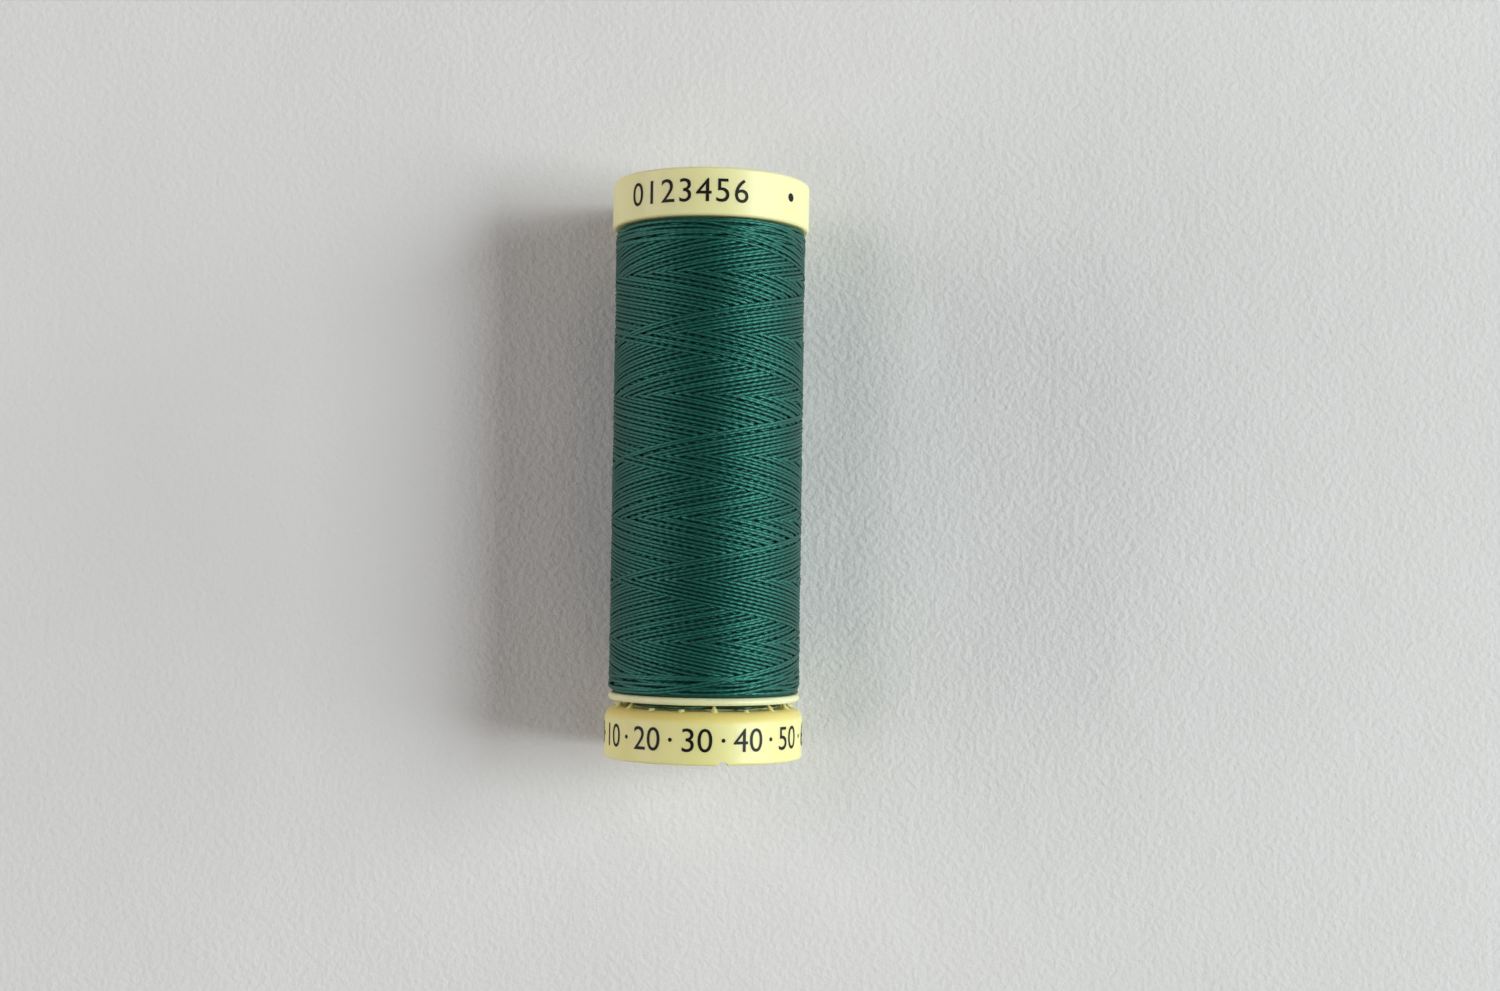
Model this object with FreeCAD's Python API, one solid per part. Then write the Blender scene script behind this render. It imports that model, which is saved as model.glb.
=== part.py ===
"""Spool of sewing thread with a sliding base cap that traps the loose end.

The spool lies on its side, as it rests on a table: its axis runs along Y, the top end is at +Y, the base end
at -Y, and both caps touch the table at Z = 0. Lengths are in millimetres. Each piece is drawn in (radius,
height) with height measured up the axis from the bottom of the base cap, then laid down. Angles round the
axis start at the side that faces up and grow towards +X.
"""

import FreeCAD
import Part
import math
import os

from FreeCAD import Placement, Rotation, Vector

# Heights up the axis, which add up to the spool's length
BASE_CAP_HEIGHT = 5.12
CATCH_GAP = 0.61
FLANGE_THICKNESS = 0.74
WOUND_LENGTH = 46.89
TOP_CAP_HEIGHT = 4.77

# Radii from the caps inwards, each a step smaller than the one before
CAP_RADIUS = 10.00
CAP_OVERHANG = 0.35
THREAD_INSET = 0.05
WOUND_DEPTH = 2.00
NECK_STEP = 0.15
CORE_WALL = 0.95

# Core: barrel, flange and the neck that the base cap slides on
FLANGE_ROUNDING = 0.30
NECK_BEAD = 0.35
NECK_BEAD_HEIGHT = 0.55
CORE_WEB = 1.00
PIN_RADIUS = 3.50
PIN_COLLAR_WALL = 0.90
PIN_COLLAR_HEIGHT = 1.60

# Both end caps
CAP_SKIRT = 1.00
CAP_EDGE_ROUNDING = 0.30
DECK_THICKNESS = 0.90

# Top cap
SOCKET_WALL = 0.65
SOCKET_RECESS = 0.35
TOP_WEB = 0.95
TOP_WEB_RECESS = 0.75
TOP_RIB_COUNT = 6
TOP_RIB_THICKNESS = 0.80
RIM_RIB_COUNT = 12
RIM_RIB_THICKNESS = 0.60

# Base cap and its ring of teeth
SHOULDER_ROUNDING = 1.30
TOOTH_COUNT = 17
TOOTH_PHASE = 8.6
TOOTH_INSET = 0.85
TOOTH_LENGTH = 1.10
TOOTH_WIDTH = 1.00
TOOTH_LEAN = 0.75
TOOTH_FULLNESS = 0.06
TOOTH_TIP_RADIUS = 0.07
GUSSET_COUNT = 9
GUSSET_THICKNESS = 0.70
GUSSET_HEIGHT = 2.60
NOTCH_RADIUS = 0.60
NOTCH_DEPTH = 0.42
NOTCH_ANGLE = 12.8
OPEN_TRAVEL = 2.40

# Wound thread: a plain package and the turns of its outer layer
STRAND_DIAMETER = 1.40
STRAND_TURNS = 24
STRAND_START = 180.0
STRAND_END_MARGIN = 0.25
PACKAGE_ROUNDING = 0.80
TAIL_DIAMETER = 0.30
TAIL_START = 196.0
TAIL_SWEEP = 318.0

# Clearances
RUNNING_FIT = 0.06
SEATED_FIT = 0.03
STOP_CLEARANCE = 0.05
TOOTH_CLEARANCE = 0.05
STRAND_CLEARANCE = 0.03
GUSSET_CLEARANCE = 0.35
LEAST_STRAND_GAP = 0.40

# Heights that follow from the sizes above
deck_bottom = BASE_CAP_HEIGHT - DECK_THICKNESS
flange_bottom = BASE_CAP_HEIGHT + CATCH_GAP
flange_top = flange_bottom + FLANGE_THICKNESS
wound_top = flange_top + WOUND_LENGTH
spool_length = wound_top + TOP_CAP_HEIGHT
bead_top = deck_bottom - OPEN_TRAVEL - STOP_CLEARANCE
neck_bottom = bead_top - NECK_BEAD_HEIGHT
top_web_top = spool_length - TOP_WEB_RECESS
top_web_bottom = top_web_top - TOP_WEB

# Radii that follow from the sizes above
flange_radius = CAP_RADIUS - CAP_OVERHANG
thread_radius = flange_radius - THREAD_INSET
barrel_radius = thread_radius - WOUND_DEPTH
neck_radius = barrel_radius - NECK_STEP
core_bore = neck_radius - CORE_WALL
bead_radius = neck_radius + NECK_BEAD
collar_radius = PIN_RADIUS + PIN_COLLAR_WALL
skirt_bore = CAP_RADIUS - CAP_SKIRT
socket_bore = barrel_radius + SEATED_FIT
socket_radius = socket_bore + SOCKET_WALL
slide_bore = neck_radius + RUNNING_FIT
strand_path_radius = thread_radius - STRAND_DIAMETER / 2
package_radius = thread_radius - STRAND_DIAMETER - STRAND_CLEARANCE

# The up axis of the drawing frame becomes +Y, and the side that faced -Y faces up
laid_down = Placement(Vector(0, -spool_length / 2, CAP_RADIUS), Rotation(Vector(1, 0, 0), -90))


def round_the_axis(angle, radius, height):
    """The point at an angle in degrees from the side that ends up on top."""
    turn = math.radians(angle)
    return Vector(radius * math.sin(turn), -radius * math.cos(turn), height)


def rounded_wire(corners):
    """A closed profile in the XZ plane through (radius, height, rounding) corners."""
    points = [Vector(radius, 0, height) for radius, height, _ in corners]
    edges = []
    starts = []
    ends = []
    for i, (_, _, rounding) in enumerate(corners):
        before = (points[i - 1] - points[i]).normalize()
        after = (points[(i + 1) % len(points)] - points[i]).normalize()
        reach = rounding / math.tan(before.getAngle(after) / 2) if rounding else 0
        arrive = points[i] + before * reach
        leave = points[i] + after * reach
        if rounding:
            inward = (before + after).normalize()
            distance = rounding / math.sin(before.getAngle(after) / 2)
            middle = points[i] + inward * (distance - rounding)
            edges.append(Part.Arc(arrive, middle, leave).toShape())
        starts.append(arrive)
        ends.append(leave)
    for i, end in enumerate(ends):
        start = starts[(i + 1) % len(starts)]
        if end.distanceToPoint(start) > 1e-6:
            edges.append(Part.LineSegment(end, start).toShape())
    return Part.Wire(Part.__sortEdges__(edges))


def turned(corners):
    """A solid of revolution round the spool's axis."""
    return Part.Face(rounded_wire(corners)).revolve(Vector(0, 0, 0), Vector(0, 0, 1), 360)


def ring(inner, outer, bottom, top):
    """A plain ring."""
    return turned([(inner, bottom, 0), (outer, bottom, 0), (outer, top, 0), (inner, top, 0)])


def radial_rib(angle, inner, outer, bottom, top, thickness):
    """A flat rib that stands in a plane through the axis."""
    rib = Part.makeBox(thickness, outer - inner, top - bottom, Vector(-thickness / 2, -outer, bottom))
    rib.rotate(Vector(0, 0, 0), Vector(0, 0, 1), angle)
    return rib


def even_angles(count, phase=0.0):
    """Angles of a pattern spread evenly round the axis."""
    return [phase + 360.0 * i / count for i in range(count)]


def make_core():
    """Barrel, lower flange and snap neck in one moulding, with a web round the pin hole at the neck's end."""
    web_top = neck_bottom + CORE_WEB
    collar_top = web_top + PIN_COLLAR_HEIGHT
    body = turned([
        (PIN_RADIUS, neck_bottom, 0),
        (bead_radius, neck_bottom, NECK_BEAD / 2),
        (bead_radius, bead_top, NECK_BEAD / 2),
        (neck_radius, bead_top, 0),
        (neck_radius, flange_bottom, 0),
        (flange_radius, flange_bottom, FLANGE_ROUNDING),
        (flange_radius, flange_top, FLANGE_ROUNDING),
        (barrel_radius, flange_top, 0),
        (barrel_radius, top_web_bottom, 0),
        (core_bore, top_web_bottom, 0),
        (core_bore, web_top, 0),
        (collar_radius, web_top, 0),
        (collar_radius, collar_top, 0),
        (PIN_RADIUS, collar_top, 0),
    ])
    return body


def make_top_cap():
    """Cap with a socket over the barrel's end, a ribbed groove behind its rim and a recessed ribbed web."""
    deck_top = wound_top + DECK_THICKNESS
    socket_top = spool_length - SOCKET_RECESS
    shell = turned([
        (socket_bore, wound_top, 0),
        (CAP_RADIUS, wound_top, CAP_EDGE_ROUNDING),
        (CAP_RADIUS, spool_length, CAP_EDGE_ROUNDING),
        (skirt_bore, spool_length, 0),
        (skirt_bore, deck_top, 0),
        (socket_radius, deck_top, 0),
        (socket_radius, socket_top, 0),
        (socket_bore, socket_top, 0),
        (socket_bore, top_web_top, 0),
        (PIN_RADIUS, top_web_top, 0),
        (PIN_RADIUS, top_web_bottom, 0),
        (socket_bore, top_web_bottom, 0),
    ])
    collar = ring(PIN_RADIUS, collar_radius, top_web_bottom - PIN_COLLAR_HEIGHT, socket_top)
    web_ribs = [
        radial_rib(angle, (PIN_RADIUS + collar_radius) / 2, socket_bore + SOCKET_WALL / 2,
                   top_web_top - TOP_WEB / 2, socket_top, TOP_RIB_THICKNESS)
        for angle in even_angles(TOP_RIB_COUNT)
    ]
    rim_ribs = [
        radial_rib(angle, socket_radius - SOCKET_WALL / 2, skirt_bore + CAP_SKIRT / 2,
                   wound_top + DECK_THICKNESS / 2, socket_top, RIM_RIB_THICKNESS)
        for angle in even_angles(RIM_RIB_COUNT, 180.0 / RIM_RIB_COUNT)
    ]
    return shell.fuse([collar] + web_ribs + rim_ribs).removeSplitter()


def make_tooth(angle):
    """One tooth sunk in the shoulder. It leans inwards and its tip stops just short of the closed flange."""
    foot = BASE_CAP_HEIGHT - SHOULDER_ROUNDING / 2
    tip = flange_bottom - TOOTH_CLEARANCE
    sections = []
    for share, fullness in ((0, 0), (0.5, TOOTH_FULLNESS), (1, 0)):
        middle = Vector(CAP_RADIUS - TOOTH_INSET - TOOTH_LEAN * share, 0, foot + (tip - foot) * share)
        sharpened = TOOTH_TIP_RADIUS * share + fullness
        oval = Part.Ellipse(middle, TOOTH_LENGTH / 2 * (1 - share) + sharpened,
                            TOOTH_WIDTH / 2 * (1 - share) + sharpened)
        sections.append(Part.Wire(oval.toShape()))
    tooth = Part.makeLoft(sections, True)
    tooth.rotate(Vector(0, 0, 0), Vector(0, 0, 1), angle - 90)
    return tooth


def make_base_cap():
    """Cup that is open below, slides on the neck and carries the ring of teeth on its shoulder."""
    shell = turned([
        (slide_bore, deck_bottom, 0),
        (skirt_bore, deck_bottom, 0),
        (skirt_bore, 0, 0),
        (CAP_RADIUS, 0, CAP_EDGE_ROUNDING),
        (CAP_RADIUS, BASE_CAP_HEIGHT, SHOULDER_ROUNDING),
        (slide_bore, BASE_CAP_HEIGHT, 0),
    ])
    teeth = [make_tooth(angle) for angle in even_angles(TOOTH_COUNT, TOOTH_PHASE)]
    gusset_inner = bead_radius + GUSSET_CLEARANCE
    gussets = [
        radial_rib(angle, gusset_inner, skirt_bore + CAP_SKIRT / 2,
                   deck_bottom - GUSSET_HEIGHT, deck_bottom + DECK_THICKNESS / 2, GUSSET_THICKNESS)
        for angle in even_angles(GUSSET_COUNT, TOOTH_PHASE)
    ]
    cap = shell.fuse(teeth + gussets).removeSplitter()
    notch = Part.makeCylinder(NOTCH_RADIUS, CAP_RADIUS,
                              Vector(0, 0, NOTCH_DEPTH - NOTCH_RADIUS), Vector(0, -1, 0))
    notch.rotate(Vector(0, 0, 0), Vector(0, 0, 1), NOTCH_ANGLE)
    return cap.cut(notch)


def make_package():
    """Wound thread under its outer layer: a plain drum with soft ends between the flange and the top cap."""
    inner = socket_bore
    rounding = min(PACKAGE_ROUNDING, (package_radius - inner) * 0.8)
    return turned([
        (inner, flange_top, 0),
        (package_radius, flange_top, rounding),
        (package_radius, wound_top, rounding),
        (inner, wound_top, 0),
    ])


def arc_from(start, heading, end):
    """The arc that leaves start along heading and reaches end."""
    chord = end - start
    along = Vector(chord).normalize()
    bend = heading.getAngle(along)
    bulge = (heading - along * heading.dot(along)).normalize()
    middle = (start + end) * 0.5 + bulge * (chord.Length / 2 * math.tan(bend / 2))
    return Part.Arc(start, middle, end).toShape()


def biarc(start, heading, end, arrival):
    """Two arcs that join smoothly and carry one heading over to another."""
    gap = end - start
    both = heading + arrival
    a = 2 * (1 - heading.dot(arrival))
    b = 2 * gap.dot(both)
    c = -gap.dot(gap)
    reach = (-b + math.sqrt(b * b - 4 * a * c)) / (2 * a)
    joint = ((start + heading * reach) + (end - arrival * reach)) * 0.5
    joint_heading = ((end - arrival * reach) - (start + heading * reach)).normalize()
    return [arc_from(start, heading, joint), arc_from(joint, joint_heading, end)]


def helix_wire(start_angle, turns, radius, bottom, top, lead, steps_per_turn):
    """A helix of biarcs with a straight lead at both ends. Returns the wire and its first heading."""
    steps = round(turns * steps_per_turn)
    rise = (top - bottom) / (2 * math.pi * turns * radius)

    def place(i):
        share = i / steps
        return round_the_axis(start_angle + 360.0 * turns * share, radius, bottom + (top - bottom) * share)

    def heading(i):
        turn = math.radians(start_angle + 360.0 * turns * i / steps)
        return Vector(math.cos(turn), math.sin(turn), rise).normalize()

    edges = [Part.LineSegment(place(0) - heading(0) * lead, place(0)).toShape()]
    for i in range(steps):
        edges.extend(biarc(place(i), heading(i), place(i + 1), heading(i + 1)))
    edges.append(Part.LineSegment(place(steps), place(steps) + heading(steps) * lead).toShape())
    return Part.Wire(edges), heading(0)


def tube_along(path, heading, diameter):
    """A round tube along a path."""
    start = path.Edges[0].valueAt(path.Edges[0].FirstParameter)
    circle = Part.Wire(Part.Circle(start, heading, diameter / 2).toShape())
    return path.makePipeShell([circle], True, False)


def least_gap(path, diameter, apart):
    """The least gap between stretches of a tube that are more than a given length apart along it."""
    step = diameter / 2
    points = path.discretize(Distance=step)
    skip = math.ceil(apart / step)
    nearest = min(
        points[i].distanceToPoint(points[j])
        for i in range(0, len(points), 3)
        for j in range(i + skip, min(i + 3 * skip, len(points)))
    )
    return nearest - diameter


def make_outer_layer():
    """Turns of the outer layer in one unbroken strand round the package."""
    margin = STRAND_DIAMETER / 2 + STRAND_END_MARGIN
    path, heading = helix_wire(STRAND_START, STRAND_TURNS, strand_path_radius, flange_top + margin,
                               wound_top - margin, STRAND_DIAMETER, 2)
    strand = tube_along(path, heading, STRAND_DIAMETER)
    gap = least_gap(path, STRAND_DIAMETER, math.pi * strand_path_radius)
    print(f"outer layer: {STRAND_TURNS} turns, least gap to itself {gap:.2f} mm, "
          f"wanted over {LEAST_STRAND_GAP}")
    print(f"outer layer: volume {strand.Volume:.1f}, section times length "
          f"{math.pi * STRAND_DIAMETER ** 2 / 4 * path.Length:.1f} mm3")
    return strand


def make_tail():
    """The loose end, laid round the neck in the catch gap."""
    radius = slide_bore + TAIL_DIAMETER / 2
    height = BASE_CAP_HEIGHT + CATCH_GAP / 2
    path, heading = helix_wire(TAIL_START, TAIL_SWEEP / 360.0, radius, height, height, TAIL_DIAMETER, 4)
    return tube_along(path, heading, TAIL_DIAMETER)


nodes = {
    "spool_core": make_core(),
    "top_cap": make_top_cap(),
    "base_cap": make_base_cap(),
    "thread_package": make_package(),
    "thread_outer_layer": make_outer_layer(),
    "thread_tail": make_tail(),
}

os.makedirs("parts", exist_ok=True)
for name, shape in nodes.items():
    solid = shape.copy()
    solid.Placement = laid_down.multiply(solid.Placement)
    solid.exportStep(os.path.join("parts", f"{name}.step"))
    print(f"{name}: {len(solid.Solids)} solid, valid {solid.isValid()}, volume {solid.Volume:.1f} mm3")
print(f"length {spool_length:.2f} mm, diameter {2 * CAP_RADIUS:.2f} mm")
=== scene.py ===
# Spool of green sewing thread lying on a sheet of paper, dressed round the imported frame.
import math

import bpy
import numpy as np
from mathutils import Euler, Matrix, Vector


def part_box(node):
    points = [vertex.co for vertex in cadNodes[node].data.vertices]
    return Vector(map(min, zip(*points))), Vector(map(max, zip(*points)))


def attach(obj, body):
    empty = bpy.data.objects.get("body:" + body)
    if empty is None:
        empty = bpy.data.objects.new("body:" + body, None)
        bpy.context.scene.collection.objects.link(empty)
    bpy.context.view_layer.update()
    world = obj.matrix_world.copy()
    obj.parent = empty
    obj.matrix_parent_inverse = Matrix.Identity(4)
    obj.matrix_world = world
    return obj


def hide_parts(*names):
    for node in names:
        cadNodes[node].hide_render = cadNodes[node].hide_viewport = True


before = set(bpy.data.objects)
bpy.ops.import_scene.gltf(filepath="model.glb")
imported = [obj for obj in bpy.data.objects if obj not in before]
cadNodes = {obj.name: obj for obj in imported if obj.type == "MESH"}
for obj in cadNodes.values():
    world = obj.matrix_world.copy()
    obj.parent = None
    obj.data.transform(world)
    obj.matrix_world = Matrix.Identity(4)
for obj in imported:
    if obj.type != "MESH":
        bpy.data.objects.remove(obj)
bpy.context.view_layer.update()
scene = bpy.context.scene
mm = 0.001

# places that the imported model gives, in metres
capLow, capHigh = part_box("top_cap")
woundLow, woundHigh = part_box("thread_package")
strandLow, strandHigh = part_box("thread_outer_layer")
tailLow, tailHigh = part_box("thread_tail")
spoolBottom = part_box("base_cap")[0].y
axisHeight = (capLow.z + capHigh.z) / 2
capRadius = (capHigh.x - capLow.x) / 2
threadRadius = (strandHigh.x - strandLow.x) / 2
random = np.random.default_rng(27)


def onSpool(angle, radius, along):  # angle from the top side towards +X, along is the Y place
    return np.stack([radius * np.sin(angle), along + 0 * angle, axisHeight + radius * np.cos(angle)], -1)


def outwardAt(angle):  # the way out from the spool's axis
    return np.stack([np.sin(angle), 0 * angle, np.cos(angle)], -1)


def unit(vectors):
    return vectors / np.linalg.norm(vectors, axis=1)[:, None]


class Wire:  # one socket of a material, so that shader maths reads as sums
    def __init__(self, finish, socket):
        self.finish = finish
        self.socket = socket

    def operate(self, operation, first, second):
        return self.finish.add("ShaderNodeMath", {"operation": operation}, {0: first, 1: second})

    def __add__(self, other):
        return self.operate("ADD", self, other)

    __radd__ = __add__

    def __sub__(self, other):
        return self.operate("SUBTRACT", self, other)

    def __rsub__(self, other):
        return self.operate("SUBTRACT", other, self)

    def __mul__(self, other):
        return self.operate("MULTIPLY", self, other)

    __rmul__ = __mul__


class Finish:  # a material and its nodes
    def __init__(self, name, **constants):
        self.material = bpy.data.materials.new(name)
        self.material.use_nodes = True
        self.tree = self.material.node_tree
        self.surface = self.tree.nodes["Principled BSDF"]
        self.paint(**constants)

    def feed(self, node, values):
        for key, value in values.items():
            if isinstance(value, Wire):
                self.tree.links.new(value.socket, node.inputs[key])
            else:
                node.inputs[key].default_value = value

    def add(self, kind, settings=None, values=None, output=0):
        node = self.tree.nodes.new(kind)
        for key, value in (settings or {}).items():
            setattr(node, key, value)
        self.feed(node, values or {})
        return Wire(self, node.outputs[output])

    def place(self, scale=(1, 1, 1)):  # Object coordinates in metres, stretched where a scale is given
        spot = self.add("ShaderNodeTexCoord", output="Object")
        return self.add("ShaderNodeMapping", None, {"Vector": spot, "Scale": scale})

    def noise(self, vector, scale, detail=2.0, roughness=0.5):
        return self.add("ShaderNodeTexNoise", None,
                        {"Vector": vector, "Scale": scale, "Detail": detail, "Roughness": roughness})

    def between(self, value, low, high, toLow=0.0, toHigh=1.0):
        return self.add("ShaderNodeMapRange", {"clamp": True},
                        {"Value": value, "From Min": low, "From Max": high,
                         "To Min": toLow, "To Max": toHigh})

    def mix(self, factor, first, second):
        return self.add("ShaderNodeMix", {"data_type": "RGBA"}, {0: factor, 6: first, 7: second}, output=2)

    def bump(self, height, strength, depth):  # depth in mm
        normal = self.add("ShaderNodeBump", None,
                          {"Height": height, "Strength": strength, "Distance": depth * mm})
        self.feed(self.surface, {"Normal": normal})

    def paint(self, **values):
        self.feed(self.surface, {key.replace("_", " "): value for key, value in values.items()})


def selectOnly(thing):
    bpy.ops.object.select_all(action="DESELECT")
    thing.select_set(True)
    bpy.context.view_layer.objects.active = thing


def meshPiece(name, points, faces, material):
    mesh = bpy.data.meshes.new(name)
    mesh.from_pydata(points, [], faces)
    mesh.materials.append(material)
    mesh.polygons.foreach_set("use_smooth", [True] * len(mesh.polygons))
    piece = bpy.data.objects.new(name, mesh)
    scene.collection.objects.link(piece)
    return piece


# camera, paper and light, sizes in mm
view = dict(place=(5.52, -10.22, 204.66), turn=(2.258, 0.299, 0.858), lens=45.9, sensor=36.0, nearest=5.0)
paper = dict(
    side=2400, colour=(0.735, 0.72, 0.73), darkAndLight=(0.97, 1.03), roughness=0.8, gloss=0.2,
    cloud=(14, 3), cloudRange=(0.35, 0.65),  # each noise: scale, detail and, for some, roughness
    fibre=(1500, 3), wave=(110, 2), waveShare=1.4, grain=0.8, grainDepth=0.16,
)
windowColour = (0.92, 1.0, 0.98)
ceilingColour = (1.0, 0.95, 0.86)
roomColour = (1.0, 0.95, 0.92)
lamps = [  # rise and turn in degrees, size in mm, share of the light that the paper gets
    dict(name="windowLow", rise=12, turn=-3, size=(1600, 400), share=0.09, colour=windowColour),
    dict(name="windowWide", rise=32, turn=5, size=(1000, 400), share=0.24, colour=windowColour),
    dict(name="windowHigh", rise=43, turn=0, size=(640, 300), share=0.27, colour=windowColour),
    dict(name="ceiling", rise=68, turn=0, size=(1000, 600), share=0.06, colour=ceilingColour),
    dict(name="roomLow", rise=20, turn=178, size=(1800, 480), share=0.16, colour=roomColour),
    dict(name="roomHigh", rise=56, turn=178, size=(1800, 500), share=0.16, colour=roomColour),
    dict(name="roomFront", rise=35, turn=270, size=(1800, 800), share=0.02, colour=roomColour),
]
lampDistance = 1800.0
roomLight = 0.03  # strength of the plain light from all round


def makeCamera():
    camera = bpy.data.objects.new("camera", bpy.data.cameras.new("camera"))
    camera.location = Vector(view["place"]) * mm
    camera.rotation_euler = Euler([math.radians(turn) for turn in view["turn"]])
    camera.data.lens = view["lens"]
    camera.data.sensor_width = view["sensor"]
    camera.data.clip_start = view["nearest"] * mm
    scene.collection.objects.link(camera)
    scene.camera = camera


def makePaper():
    finish = Finish("paperSheet", Specular_IOR_Level=paper["gloss"], Roughness=paper["roughness"])
    spot = finish.place()
    cloud = finish.between(finish.noise(spot, *paper["cloud"]), *paper["cloudRange"])
    fibre = finish.noise(spot, *paper["fibre"])
    wave = finish.noise(spot, *paper["wave"])
    dark, light = ([part * share for part in paper["colour"]] + [1] for share in paper["darkAndLight"])
    finish.paint(Base_Color=finish.mix(cloud, dark, light))
    finish.bump(fibre + wave * paper["waveShare"], paper["grain"], paper["grainDepth"])
    half = paper["side"] / 2 * mm
    corners = [(-half, -half, 0), (half, -half, 0), (half, half, 0), (-half, half, 0)]
    sheet = meshPiece("paperSheet", corners, [(0, 1, 2, 3)], finish.material)


def makeLamps():
    for lamp in lamps:
        turn = math.radians(lamp["turn"])
        rise = math.radians(lamp["rise"])
        aim = Vector((math.cos(turn) * math.cos(rise), math.sin(turn) * math.cos(rise), math.sin(rise)))
        light = bpy.data.lights.new(lamp["name"], "AREA")
        light.shape = "RECTANGLE"
        light.size, light.size_y = (side * mm for side in lamp["size"])
        light.energy = lamp["share"] * (math.pi * lampDistance * mm) ** 2 / math.sin(rise)
        light.color = lamp["colour"]
        holder = bpy.data.objects.new(lamp["name"], light)
        holder.location = aim * lampDistance * mm
        holder.rotation_euler = aim.to_track_quat("Z", "Y").to_euler()
        scene.collection.objects.link(holder)
    world = bpy.data.worlds.new("room")
    world.use_nodes = True
    world.node_tree.nodes["Background"].inputs["Strength"].default_value = roomLight
    scene.world = world


scene.view_settings.view_transform = "Standard"
makeCamera()
makePaper()
makeLamps()
print("camera, paper and lamps are set")


# moulded plastic of the caps and the core
plastic = dict(
    top=dict(colour=(0.83, 0.79, 0.42, 1), shade=(0.75, 0.70, 0.34, 1)),
    # the base's and the core's deeper tone is painted shade round the teeth, on the shoulder and on the
    # neck under the flange
    base=dict(colour=(0.81, 0.76, 0.35, 1), shade=(0.73, 0.67, 0.27, 1),
              paintedDeepShade=(0.80, 0.66, 0.21, 1), paintedDeepShadeFrom=(3.9, 4.5), paintedDeepShadeTo=(4.95, 5.1)),
    core=dict(colour=(0.77, 0.76, 0.47, 1), shade=(0.64, 0.63, 0.35, 1),
              paintedDeepShade=(0.56, 0.52, 0.20, 1), paintedDeepShadeFrom=(1.5, 4.5), paintedDeepShadeTo=(5.7, 5.82)),
    glow=0.35, glowDepth=1.5, glowColour=(1.0, 0.85, 0.35), ior=1.49,
    cloud=(90, 3), cloudRange=(0.3, 0.75, 0.0, 0.6),
    speck=(1500, 2, 0.6), speckRange=(0.3, 0.7), roughness=(0.34, 0.46),
    wave=(420, 2), speckShare=0.25, waviness=0.10, waveDepth=0.1,
)


def plasticFinish(name, colour, shade, paintedDeepShade=None, paintedDeepShadeFrom=None, paintedDeepShadeTo=None):
    finish = Finish(name, Subsurface_Weight=plastic["glow"], Subsurface_Scale=plastic["glowDepth"] * mm,
                    Subsurface_Radius=plastic["glowColour"], IOR=plastic["ior"])
    spot = finish.place()
    cloud = finish.noise(spot, *plastic["cloud"])
    speck = finish.noise(spot, *plastic["speck"])
    wave = finish.noise(spot, *plastic["wave"])
    tone = finish.mix(finish.between(cloud, *plastic["cloudRange"]), colour, shade)
    if paintedDeepShade:  # painted shade: a deeper, more olive tone between two heights over the base, round the teeth and on the neck, where the gap under the flange lies in shade and takes light bounced off the yellow plastic
        along = finish.add("ShaderNodeSeparateXYZ", None, {0: spot}, output="Y")
        height = (along - spoolBottom) * (1 / mm)
        share = finish.between(height, *paintedDeepShadeFrom) * finish.between(height, *paintedDeepShadeTo, 1.0, 0.0)
        tone = finish.mix(share, tone, paintedDeepShade)
    rough = finish.between(speck, *plastic["speckRange"], *plastic["roughness"])
    finish.paint(Base_Color=tone, Roughness=rough)
    finish.bump(wave + speck * plastic["speckShare"], plastic["waviness"], plastic["waveDepth"])
    return finish.material


def dressPlastic():
    for name, look in (("top_cap", "top"), ("base_cap", "base"), ("spool_core", "core")):
        node = cadNodes[name]
        node.data.materials.clear()
        node.data.materials.append(plasticFinish(look + "Plastic", **plastic[look]))


dressPlastic()
print("plastic is dressed")


# the wound thread: one strand that runs to and fro along the spool, sizes in mm and angles in degrees
winding = dict(
    strandWidth=0.36, strandThickness=0.29, sides=8, pointsPerTurn=80,
    doubleStrokes=32, turnsPerDouble=8, overshoot=0.7,
    lastCrossing=(-60.0, 23.4),  # angle, and height over the flange, where the newest strands cross
    endMargin=0.16, easing=2.0, easingSpread=(0.618034, 1.4), softness=0.35,  # where strokes turn back
    strokeWander=0.065, slowWander=0.03, wandersPerTurn=3,
    rise=0.19, reach=0.55, bridge=3.6,  # lift of a crossing strand, share of its width, angle it spans
    proud=0.015, pressed=0.78,  # a bunch that stands proud is pressed in by this share
    corrections=4, evenOut=(4, 0.4), meanDepth=0.7, firstDepth=2.2,  # depths under the outside, in rises
    shoulder=0.7, shoulderDrop=0.45,
    mapTurn=720, mapStep=0.05,
    drumSides=120, drumStep=0.3, drumLift=0.6, drumBore=8.35,
)


def softened(value, soft):  # a limit at zero with a rounded bend
    return (value + np.sqrt(value ** 2 + soft ** 2)) / 2


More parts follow.
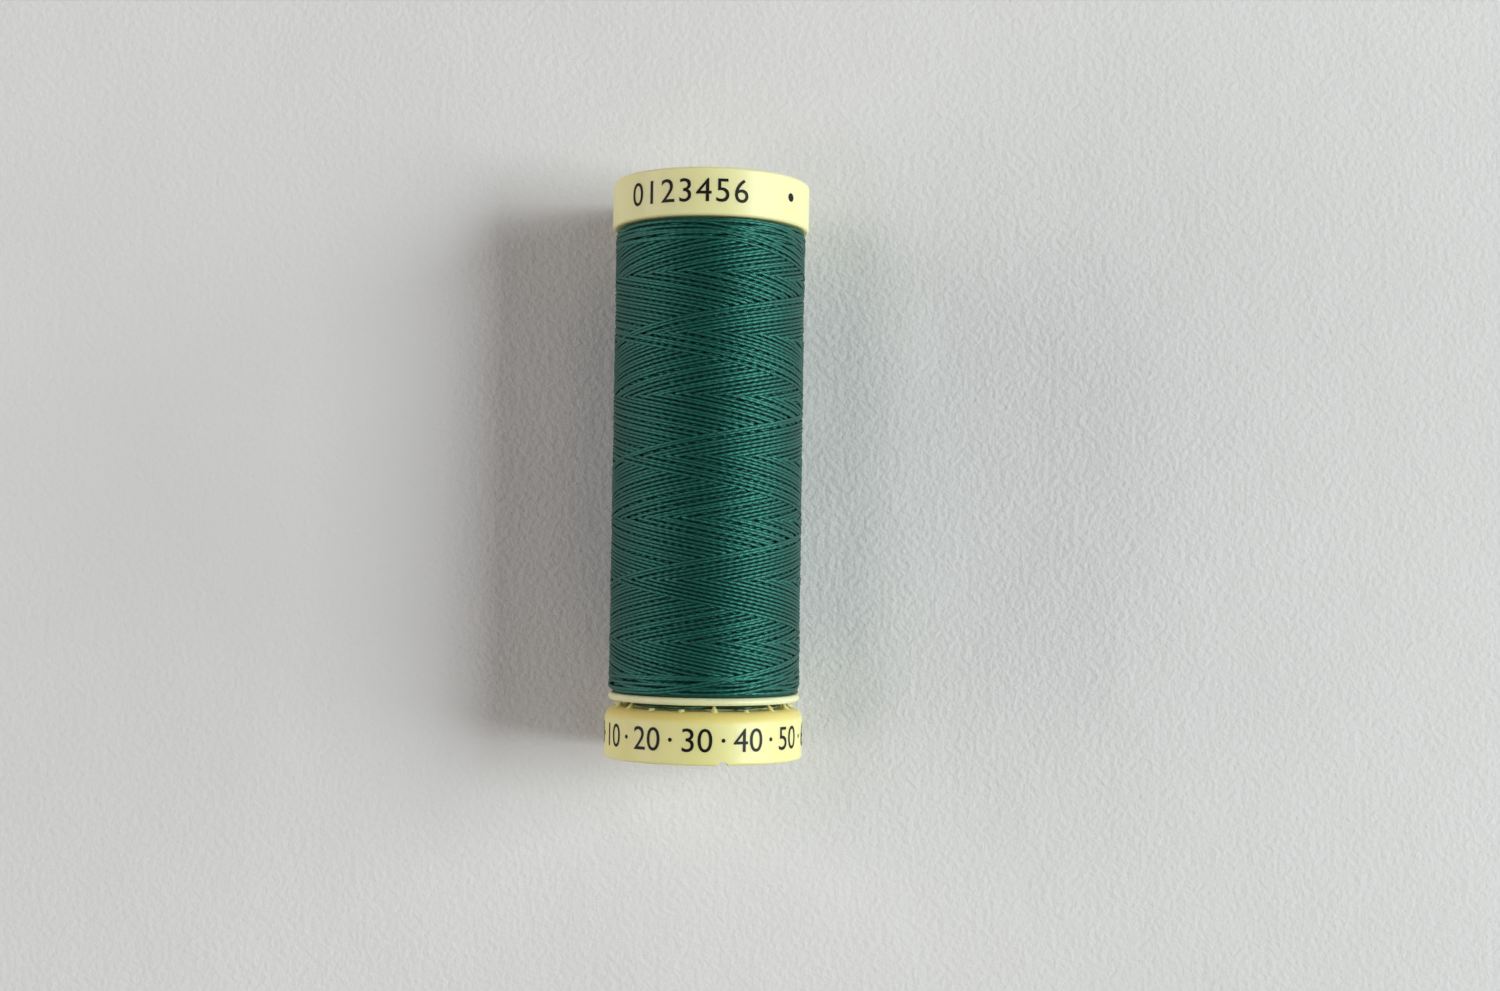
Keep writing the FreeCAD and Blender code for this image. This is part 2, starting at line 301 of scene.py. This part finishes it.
def strokePath(settings, length):  # turn count, height in mm and stroke number along the whole winding
    swing = length + 2 * settings["overshoot"]
    period = settings["turnsPerDouble"] - 1 / settings["doubleStrokes"]  # the pattern closes on itself
    strokes = settings["doubleStrokes"] * 2
    perStroke = int(settings["mapTurn"] * period / 2)
    turns = np.arange(strokes * perStroke) * period / 2 / perStroke
    phase = turns / (period / 2)
    stroke = np.minimum(phase.astype(int), strokes - 1)
    along = phase - stroke
    master = np.where(stroke % 2 == 0, along, 1 - along) * swing - settings["overshoot"]
    spread, power = settings["easingSpread"]
    ends = ((np.arange(strokes + 1) * spread) % 1.0) ** power * settings["easing"]
    bottom = ends[stroke + stroke % 2]
    top = length - ends[stroke + 1 - stroke % 2]
    height = top - softened(top - master, settings["softness"])
    height = bottom + softened(height - bottom, settings["softness"])
    offsets = random.normal(0, settings["strokeWander"], strokes + 1)
    height += np.interp(phase, np.arange(strokes + 1) + 0.5, offsets)
    knots = int(turns[-1] * settings["wandersPerTurn"])
    wander = random.normal(0, settings["slowWander"], knots)
    height += np.interp(turns, np.linspace(0, turns[-1], knots), wander)
    return turns, np.clip(height, 0, length), stroke


def startTurn(settings, turns, height, stroke):  # the turn that brings the newest crossing to its place
    angle, wanted = settings["lastCrossing"]
    lastRising = np.nonzero(stroke == settings["doubleStrokes"] * 2 - 2)[0]
    passing = lastRising[np.argmin(np.abs(height[lastRising] + settings["endMargin"] - wanted))]
    return angle / 360 - turns[passing]


def layStrokes(settings, turns, height, stroke, drum, wanted):  # each stroke rides over what lies there
    columns, rows = drum.shape
    pile = drum.copy()
    reach = int(round(settings["strandWidth"] / 2 / settings["mapStep"] * settings["reach"]))
    spread = range(-reach, reach + 1)
    column = np.floor(turns % 1.0 * columns).astype(int) % columns
    row = np.round((height + settings["endMargin"]) / settings["mapStep"]).astype(int)
    row = np.clip(row, reach, rows - reach - 1)
    window = int(settings["bridge"] / 360 * columns)
    kernel = np.hanning(2 * window + 3)[1:-1]
    kernel /= kernel.sum()
    radius = np.empty(len(turns))
    for number in range(stroke[-1] + 1):
        samples = np.nonzero(stroke == number)[0]
        places = [(column[samples], row[samples] + step) for step in spread]
        under = np.max([pile[place] for place in places], axis=0)
        padded = np.pad(under, window, mode="edge")
        highest = np.lib.stride_tricks.sliding_window_view(padded, 2 * window + 1).max(axis=1)
        smoothed = np.convolve(np.pad(highest, window, mode="edge"), kernel, mode="valid")
        proud = smoothed + settings["rise"] - wanted[row[samples]] - settings["proud"]
        smoothed -= np.maximum(proud, 0) * settings["pressed"]
        radius[samples] = smoothed + settings["rise"] / 2
        for step, place in zip(spread, places):
            rise = settings["rise"] * math.sqrt(1 - (step / (reach + 1.0)) ** 2)
            np.maximum.at(pile, place, smoothed + rise)
    return radius, pile


def wantedSurface(settings, rows, top):  # outer radius along the package, rounded at both ends
    place = np.arange(rows) * settings["mapStep"]
    fromEnd = np.clip(np.minimum(place, place[-1] - place) / settings["shoulder"], 0, 1)
    return top - settings["shoulderDrop"] * (1 - np.sqrt(1 - (1 - fromEnd) ** 2))


def evenedOut(settings, surface):  # running mean round the spool and along it
    turn = round(settings["evenOut"][0] / 360 * settings["mapTurn"])
    span = round(settings["evenOut"][1] / settings["mapStep"])
    surface = np.mean([np.roll(surface, step, axis=0) for step in range(-turn, turn + 1)], axis=0)
    padded = np.pad(surface, ((0, 0), (span, span)), mode="edge")
    return np.mean([padded[:, step:step + surface.shape[1]] for step in range(2 * span + 1)], axis=0)


def layWinding():  # the strand's middle line, the way out at each point, and the surface it rests on
    span = (woundHigh.y - woundLow.y) / mm
    turns, height, stroke = strokePath(winding, span - 2 * winding["endMargin"])
    turns += startTurn(winding, turns, height, stroke)
    rows = int(round(span / winding["mapStep"])) + 1
    wanted = wantedSurface(winding, rows, threadRadius / mm)
    drum = np.tile(wanted - winding["firstDepth"] * winding["rise"], (winding["mapTurn"], 1))
    for correction in range(winding["corrections"]):
        _, pile = layStrokes(winding, turns, height, stroke, drum, wanted)
        drum -= evenedOut(winding, pile - wanted) + winding["rise"] * winding["meanDepth"]
    radius, _ = layStrokes(winding, turns, height, stroke, drum, wanted)
    picked = np.arange(0, len(turns), winding["mapTurn"] // winding["pointsPerTurn"])
    angle = turns[picked] * 2 * math.pi
    along = woundLow.y + (height[picked] + winding["endMargin"]) * mm
    print("winding:", len(picked), "rings, radius", round(radius.min(), 3), "to", round(radius.max(), 3))
    return onSpool(angle, radius[picked] * mm, along), outwardAt(angle), drum


def strandTube(name, centres, outward, settings, material, startLength):  # closed, its UV in turns and mm
    ahead = unit(np.gradient(centres, axis=0))
    across = unit(np.cross(ahead, outward))
    up = np.cross(across, ahead)
    sides = settings["sides"]
    rings = len(centres)
    turn = np.arange(sides) * 2 * math.pi / sides
    wide = np.cos(turn) * (settings["strandWidth"] / 2 * mm)
    thick = np.sin(turn) * (settings["strandThickness"] / 2 * mm)
    points = centres[:, None, :] + across[:, None, :] * wide[:, None] + up[:, None, :] * thick[:, None]
    first = np.arange(rings - 1)[:, None] * sides + np.arange(sides)
    beside = np.arange(rings - 1)[:, None] * sides + (np.arange(sides) + 1) % sides
    faces = np.stack([first, first + sides, beside + sides, beside], axis=-1).reshape(-1, 4)
    ends = [list(range(sides)), list(range((rings - 1) * sides, rings * sides))[::-1]]
    piece = meshPiece(name, points.reshape(-1, 3).tolist(), faces.tolist() + ends, material)
    steps = np.linalg.norm(np.diff(centres, axis=0), axis=1)
    length = startLength + np.concatenate([[0], np.cumsum(steps)]) / mm
    around = np.arange(sides) / sides
    quads = np.empty((rings - 1, sides, 4, 2))
    quads[:, :, 0, 0] = quads[:, :, 1, 0] = around
    quads[:, :, 2, 0] = quads[:, :, 3, 0] = around + 1 / sides
    quads[:, :, 0, 1] = quads[:, :, 3, 1] = length[:-1, None]
    quads[:, :, 1, 1] = quads[:, :, 2, 1] = length[1:, None]
    endCorners = np.zeros(2 * sides * 2)
    uv = piece.data.uv_layers.new(name="strand")
    uv.data.foreach_set("uv", np.concatenate([quads.reshape(-1), endCorners]))
    return piece, length[-1]


threadLook = dict(  # each share goes from a mask's low and high value to the least and most of its colour
    # the darker colour is both the dye's own random tone and the painted shade in the creases between
    # plies
    colour=(0.0030, 0.054, 0.041, 1), dark=(0.0012, 0.020, 0.0155, 1), paintedSheen=(0.016, 0.13, 0.098, 1),
    # the groove colour is painted shade on the flanks of each strand
    groove=(0.0009, 0.0175, 0.0135, 1), tint=(0.23, 0.96, 0.78, 1), ior=1.95,
    plies=3, twistLength=0.80, plyPaintedShadeShare=(0.0, 0.7, 0.15, 1.0),
    # the fibre and dash shares lighten the strands towards the pale colour, a painted sheen
    fibre=(9000, 2, 0.7), fibrePaintedSheenShare=(0.50, 0.78, 0.0, 0.45),
    fibreRange=(0.3, 0.7), roughness=(0.37, 0.55),
    dashStretch=(6.0, 2.6), dash=(1.0, 2, 0.6), dashPaintedSheenShare=(0.48, 0.66, 0.0, 0.6),
    patch=(260, 3), patchShare=(0.35, 0.7, 0.0, 0.25),
    toneLength=45.0, toneShare=(0.35, 0.65, 0.0, 0.55),
    # painted light: these set how narrow the lit crest on each strand is and how noise breaks it
    paintedCrestLightRange=(0.7, 1.0), paintedCrestLightBreak=0.5,
    bump=0.6, bumpDepth=0.04, fibreBump=1.2, dashBump=0.8,
)


def threadFinish(name, look):
    finish = Finish(name, Specular_Tint=look["tint"], IOR=look["ior"])
    uv = finish.add("ShaderNodeUVMap", {"uv_map": "strand"})
    around, along = (finish.add("ShaderNodeSeparateXYZ", None, {0: uv}, output=axis) for axis in "XY")
    lay = finish.add("ShaderNodeMath", {"operation": "FRACT"},
                     {0: around * look["plies"] + along * (1 / look["twistLength"])})
    ply = finish.add("ShaderNodeMath", {"operation": "PINGPONG"}, {0: lay, 1: 0.5}) * 2
    spot = finish.place()
    fibre = finish.noise(spot, *look["fibre"])
    patch = finish.noise(spot, *look["patch"])
    tone = finish.add("ShaderNodeTexNoise", {"noise_dimensions": "1D"},
                      {"W": along * (1 / look["toneLength"]), "Scale": 1.0, "Detail": 1.0})
    stretched = {0: around * look["dashStretch"][0], 1: along * look["dashStretch"][1]}
    dash = finish.noise(finish.add("ShaderNodeCombineXYZ", None, stretched), *look["dash"])
    # painted shade: the ply stripes of the twist darken towards the creases between the plies
    colour = finish.mix(finish.between(ply, *look["plyPaintedShadeShare"]), look["dark"], look["colour"])
    # painted highlight: fibre and dash noise lighten the strands towards a pale sheen; patch and tone are
    # the dye's own random darker tone
    for mask, share, part in ((fibre, "fibrePaintedSheenShare", "paintedSheen"), (dash, "dashPaintedSheenShare", "paintedSheen"),
                              (patch, "patchShare", "dark"), (tone, "toneShare", "dark")):
        colour = finish.mix(finish.between(mask, *look[share]), colour, look[part])
    # painted light and shade: each strand keeps its colour on the outward crest and falls to the darker
    # groove colour on its flanks, standing in for the shade between strands
    paintedCrestLight = finish.add("ShaderNodeMath", {"operation": "SINE"}, {0: around * (2 * math.pi)})
    paintedCrestLight = paintedCrestLight + (fibre - 0.5) * look["paintedCrestLightBreak"] + (dash - 0.5) * look["paintedCrestLightBreak"]
    colour = finish.mix(finish.between(paintedCrestLight, *look["paintedCrestLightRange"]), look["groove"], colour)
    rough = finish.between(fibre, *look["fibreRange"], *look["roughness"])
    finish.paint(Base_Color=colour, Roughness=rough)
    finish.bump(ply + fibre * look["fibreBump"] + dash * look["dashBump"], look["bump"], look["bumpDepth"])
    return finish.material


drumLook = dict(
    dark=(0.006, 0.05, 0.04, 1), light=(0.014, 0.10, 0.08, 1), line=(900, 3), stretch=(1, 9, 1),
    roughness=0.8, gloss=0.2, bump=0.6, bumpDepth=0.1,
)


def drumFinish():
    finish = Finish("woundUnder", Roughness=drumLook["roughness"], Specular_IOR_Level=drumLook["gloss"])
    line = finish.noise(finish.place(drumLook["stretch"]), *drumLook["line"])
    finish.paint(Base_Color=finish.mix(line, drumLook["dark"], drumLook["light"]))
    finish.bump(line, drumLook["bump"], drumLook["bumpDepth"])
    return finish.material


def makeDrum(drum):  # what is wound under the modelled strokes, as one closed ring
    count = winding["drumSides"]
    ring = np.arange(count) * 2 * math.pi / count
    raised = drum[::winding["mapTurn"] // count] + winding["rise"] * winding["drumLift"]
    bore = np.full(count, winding["drumBore"])
    bottom = woundLow.y / mm
    rows = range(0, drum.shape[1], round(winding["drumStep"] / winding["mapStep"]))
    profile = [(bore, bottom)]
    profile += [(raised[:, row], bottom + row * winding["mapStep"]) for row in rows]
    profile += [(bore, woundHigh.y / mm)]
    points = np.concatenate([onSpool(ring, radii * mm, np.full(count, y * mm)) for radii, y in profile])
    faces = []
    for i in range(len(profile)):
        here, there = i * count, (i + 1) % len(profile) * count
        for j in range(count):
            beside = (j + 1) % count
            faces.append((here + j, here + beside, there + beside, there + j))
    return meshPiece("threadUnderneath", points.tolist(), faces, drumFinish())


# fine fibre ends that lift off the strand and taper away
fuzz = dict(
    count=420, length=(0.5, 1.5), lift=(0.06, 0.32), liftCurve=1.5, lean=0.45,
    thickness=0.018, taper=0.8, steps=4, root=0.4,
    colour=(0.03, 0.16, 0.13, 1), roughness=0.6, gloss=0.3,
)


def fuzzFinish():
    return Finish("threadFibre", Base_Color=fuzz["colour"], Roughness=fuzz["roughness"],
                  Specular_IOR_Level=fuzz["gloss"]).material


def makeFuzz(centres, outward):
    ahead = unit(np.gradient(centres, axis=0))
    newest = np.arange(len(centres) // 2, len(centres))
    points, faces = [], []
    for root in random.choice(newest, fuzz["count"], replace=False):
        length = random.uniform(*fuzz["length"]) * mm
        lift = random.uniform(*fuzz["lift"]) * mm
        lean = random.normal(0, fuzz["lean"])
        along = ahead[root] * random.choice((-1, 1))
        side = np.cross(along, outward[root])
        first = len(points)
        for step in range(fuzz["steps"]):
            share = step / (fuzz["steps"] - 1)
            height = winding["strandThickness"] * fuzz["root"] * mm + lift * share ** fuzz["liftCurve"]
            middle = centres[root] + outward[root] * height + along * length * share
            middle = middle + side * length * lean * share ** 2
            wide = fuzz["thickness"] * mm * (1 - fuzz["taper"] * share)
            points += [middle + side * wide, middle + outward[root] * wide, middle - side * wide]
        last = len(points)
        for ring in range(first, last - 3, 3):
            faces += [(ring + i, ring + 3 + i, ring + 3 + (i + 1) % 3, ring + (i + 1) % 3)
                      for i in range(3)]
        faces += [(first, first + 1, first + 2), (last - 1, last - 2, last - 3)]
    return meshPiece("threadFuzz", points, faces, fuzzFinish())


def makeWinding():
    centres, outward, drum = layWinding()
    material = threadFinish("greenThread", threadLook)
    half = len(centres) // 2
    pieces = []
    laid = 0.0
    for name, part in (("threadWoundFirst", slice(0, half + 1)), ("threadWoundLast", slice(half, None))):
        piece, laid = strandTube(name, centres[part], outward[part], winding, material, laid)
        pieces.append(piece)
    pieces += [makeDrum(drum), makeFuzz(centres, outward)]
    for piece in pieces:
        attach(piece, "spool")
        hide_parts("thread_package", "thread_outer_layer")
    print("thread is wound, its strand", round(laid / 1000, 1), "m long")


makeWinding()


# the loose end, laid round the neck and past the teeth
tail = dict(
    strandWidth=0.34, strandThickness=0.32, sides=10, start=196.0, sweep=318.0, stepAngle=1.0, lift=0.06,
    inFront=(-33.8, -12.6, 29.8), reach=10.0,  # where it runs outside the teeth, and how far round
    outer=8.88, inner=7.75,
    # painted shade: darker thread colours and a duller tint for the end that lies in shade in the gap
    # under the flange
    paintedShade=dict(colour=(0.005, 0.028, 0.015, 1), paintedSheen=(0.010, 0.045, 0.028, 1),
                groove=(0.001, 0.010, 0.005, 1), tint=(0.25, 0.62, 0.45, 1)),
)


def makeTail():
    angle = np.radians(np.arange(tail["start"], tail["start"] + tail["sweep"], tail["stepAngle"]))
    degrees = (np.degrees(angle) + 180) % 360 - 180
    swings = [np.exp(-((degrees - tooth) / tail["reach"]) ** 2) for tooth in tail["inFront"]]
    front = np.minimum(1, sum(swings))
    radius = tail["inner"] + (tail["outer"] - tail["inner"]) * front
    along = np.full(len(angle), (tailLow.y + tailHigh.y) / 2 + tail["lift"] * mm)
    centres = onSpool(angle, radius * mm, along)
    # the loose end's material is the thread's own, darkened as painted shade
    paintedShade = threadFinish("looseThreadInPaintedShade", threadLook | tail["paintedShade"])
    piece, length = strandTube("threadTail", centres, outwardAt(angle), tail, paintedShade, 0.0)
    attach(piece, "spool")
    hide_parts("thread_tail")
    print("loose end is laid,", round(length, 1), "mm long")


makeTail()


# printed bands: plain numbers round both caps, angles in degrees and heights over the base in mm
ink = dict(
    colour=(0.006, 0.005, 0.004, 1), worn=(0.05, 0.045, 0.03, 1),
    wear=(2600, 3, 0.7), wearRange=(0.6, 0.8),
    roughness=0.5, gloss=0.2, lift=0.012, thickness=0.01, sliceWidth=0.3, merge=0.0005,
    figureShare=0.729, curveSteps=5, dotSides=20,  # a figure's height over the size of its type
)
topBand = dict(
    body="spool", height=2.42, foot=54.68, first=-45.0, step=10.6, marks=list("0123456"),
    dots=[53.6], dotHeight=55.95, dotRadius=0.43,
)
baseBand = dict(
    body="cap", height=2.38, foot=1.34, first=-62.0, step=30.0,
    marks=[str(10 * count) for count in range(1, 13)],
    dots=[-77.0 + 30 * count for count in range(12)], dotHeight=2.45, dotRadius=0.2,
)


def inkFinish():
    finish = Finish("printInk", Roughness=ink["roughness"], Specular_IOR_Level=ink["gloss"])
    wear = finish.between(finish.noise(finish.place(), *ink["wear"]), *ink["wearRange"])
    finish.paint(Base_Color=finish.mix(wear, ink["colour"], ink["worn"]))
    return finish.material


def bendRound(piece, angle, foot):  # a flat mesh in mm goes round the cap, at an angle and height
    spots = np.empty(len(piece.data.vertices) * 3)
    piece.data.vertices.foreach_get("co", spots)
    across, up, out = spots.reshape(-1, 3).T
    turned = math.radians(angle) + across / (capRadius / mm)
    radius = (capRadius / mm + ink["lift"] + out) * mm
    bent = onSpool(turned, radius, spoolBottom + (foot + up) * mm)
    piece.data.vertices.foreach_set("co", bent.ravel())
    piece.data.update()


def mergeClose():  # joins the faces of the active mesh along their edges and drops slivers
    bpy.ops.object.mode_set(mode="EDIT")
    bpy.ops.mesh.select_all(action="SELECT")
    bpy.ops.mesh.remove_doubles(threshold=ink["merge"])
    bpy.ops.mesh.dissolve_degenerate(threshold=ink["merge"])
    bpy.ops.object.mode_set(mode="OBJECT")


def sliceAcross(piece):  # cuts so close that a wide stroke follows the curve of the band
    selectOnly(piece)
    reach = max(abs(vertex.co.x) for vertex in piece.data.vertices)
    bpy.ops.object.mode_set(mode="EDIT")
    for place in np.arange(-reach, reach, ink["sliceWidth"])[1:]:
        bpy.ops.mesh.select_all(action="SELECT")
        bpy.ops.mesh.bisect(plane_co=(place, 0, 0), plane_no=(1, 0, 0))
    bpy.ops.object.mode_set(mode="OBJECT")
    mergeClose()


def makeNumber(text, height):
    bpy.ops.object.select_all(action="DESELECT")
    bpy.ops.object.text_add()
    letters = bpy.context.active_object
    letters.data.body = text
    letters.data.size = height / ink["figureShare"]
    letters.data.align_x = "CENTER"
    letters.data.extrude = ink["thickness"] / 2
    letters.data.resolution_u = ink["curveSteps"]
    bpy.ops.object.convert(target="MESH")
    letters = bpy.context.active_object
    selectOnly(letters)
    mergeClose()
    return letters


def makeDot(radius):
    bpy.ops.object.select_all(action="DESELECT")
    bpy.ops.mesh.primitive_cylinder_add(vertices=ink["dotSides"], radius=radius, depth=ink["thickness"])
    return bpy.context.active_object


def printBand(name, band, material):
    marks = []
    for count, text in enumerate(band["marks"]):
        number = makeNumber(text, band["height"])
        sliceAcross(number)
        bendRound(number, band["first"] + count * band["step"], band["foot"])
        marks.append(number)
    for angle in band["dots"]:
        dot = makeDot(band["dotRadius"])
        bendRound(dot, angle, band["dotHeight"])
        marks.append(dot)
    bpy.ops.object.select_all(action="DESELECT")
    for mark in marks:
        mark.data.materials.clear()
        mark.select_set(True)
    bpy.context.view_layer.objects.active = marks[0]
    bpy.ops.object.join()
    piece = bpy.context.active_object
    piece.name = name
    piece.data.materials.append(material)
    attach(piece, band["body"])


inkMaterial = inkFinish()
printBand("topBandNumbers", topBand, inkMaterial)
printBand("baseBandNumbers", baseBand, inkMaterial)
print("bands are printed")
